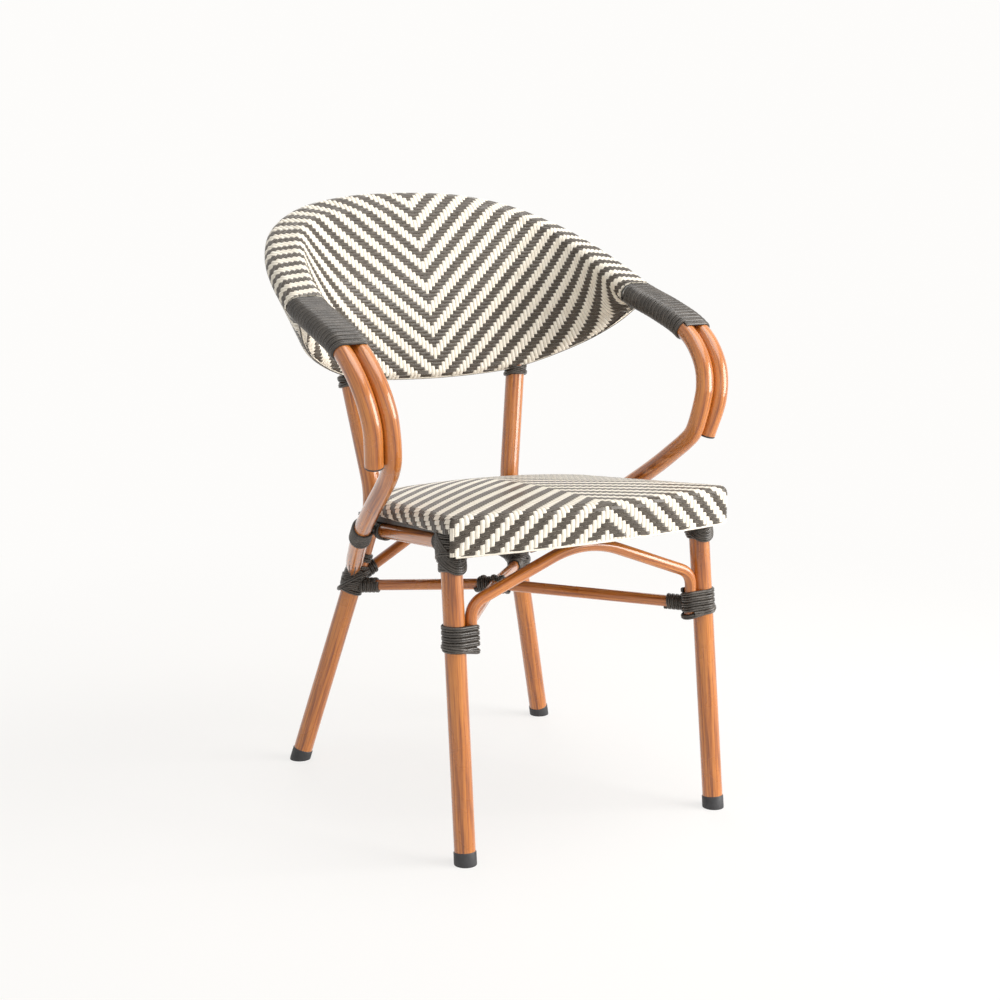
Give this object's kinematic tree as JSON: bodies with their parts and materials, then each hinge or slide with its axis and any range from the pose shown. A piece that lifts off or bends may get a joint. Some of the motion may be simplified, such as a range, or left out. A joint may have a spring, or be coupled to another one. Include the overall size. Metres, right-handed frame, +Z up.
{
  "type": "bistro armchair",
  "caption": "Woven bistro armchair with a tub back, looped double-tube arms, splayed tube legs, arched stretchers and dark strip lashings.",
  "frame": {"origin": "on the floor, under the middle of the chair's bounding box", "axes": "+Z up; -Y to the front, the way a sitter faces; +X to the chair's right side as seen from the front of the picture"},
  "size_m": [0.5958, 0.565, 0.835],
  "materials": {
    "wood_look_tube": "satin wood-look coat on aluminium tube",
    "bare_tube": "plain aluminium tube, hidden under the weave",
    "dark_strip": "semi-gloss dark grey plastic strip",
    "woven_strand": "ivory and grey flat plastic strands in a chevron twill",
    "dark_plastic": "matt dark plastic",
    "panel_frame": "dark painted seat panel frame"
  },
  "bodies": {
    "root": {"front_leg_right": "wood_look_tube", "front_leg_left": "wood_look_tube", "rear_leg_right": "wood_look_tube", "rear_leg_left": "wood_look_tube", "upright_collar_right": "dark_plastic", "upright_collar_left": "dark_plastic", "front_foot_right": "dark_plastic", "front_foot_left": "dark_plastic", "rear_foot_right": "dark_plastic", "rear_foot_left": "dark_plastic", "seat_weave": "woven_strand", "seat_panel_frame": "panel_frame", "side_rail_right": "wood_look_tube", "side_rail_left": "wood_look_tube", "front_rail": "wood_look_tube", "rear_rail": "wood_look_tube", "front_arch": "wood_look_tube", "rear_arch": "wood_look_tube", "rear_arch_wrap_right": "dark_strip", "rear_arch_wrap_left": "dark_strip", "cross_brace_long": "wood_look_tube", "cross_brace_front_left": "wood_look_tube", "cross_brace_rear_right": "wood_look_tube", "centre_wrap": "dark_strip", "brace_wrap_front_right": "dark_strip", "brace_wrap_front_left": "dark_strip", "brace_wrap_rear_right": "dark_strip", "brace_wrap_rear_left": "dark_strip", "arm_tube_right": "wood_look_tube", "arm_tube_left": "wood_look_tube", "arm_outer_tube_right": "wood_look_tube", "arm_outer_tube_left": "wood_look_tube", "arm_end_plug_right": "dark_plastic", "arm_end_plug_left": "dark_plastic", "arm_joint_sleeve_inner_right": "bare_tube", "arm_joint_sleeve_inner_left": "bare_tube", "arm_joint_sleeve_outer_right": "bare_tube", "arm_joint_sleeve_outer_left": "bare_tube", "back_rim_inner": "bare_tube", "back_rim_outer": "bare_tube", "back_weave_inner": "woven_strand", "back_weave_outer": "woven_strand", "back_edge_trim": "dark_strip", "back_rail_lower": "bare_tube", "arm_wrap_right": "dark_strip", "arm_wrap_left": "dark_strip", "arm_foot_wrap_right": "dark_strip", "arm_foot_wrap_left": "dark_strip", "front_leg_wrap_right": "dark_strip", "front_leg_wrap_left": "dark_strip", "front_leg_top_wrap_right": "dark_strip", "front_leg_top_wrap_left": "dark_strip", "side_rail_wrap_right": "dark_strip", "side_rail_wrap_left": "dark_strip", "rear_joint_wrap_right": "dark_strip", "rear_joint_wrap_left": "dark_strip"}
  },
  "joints": []
}
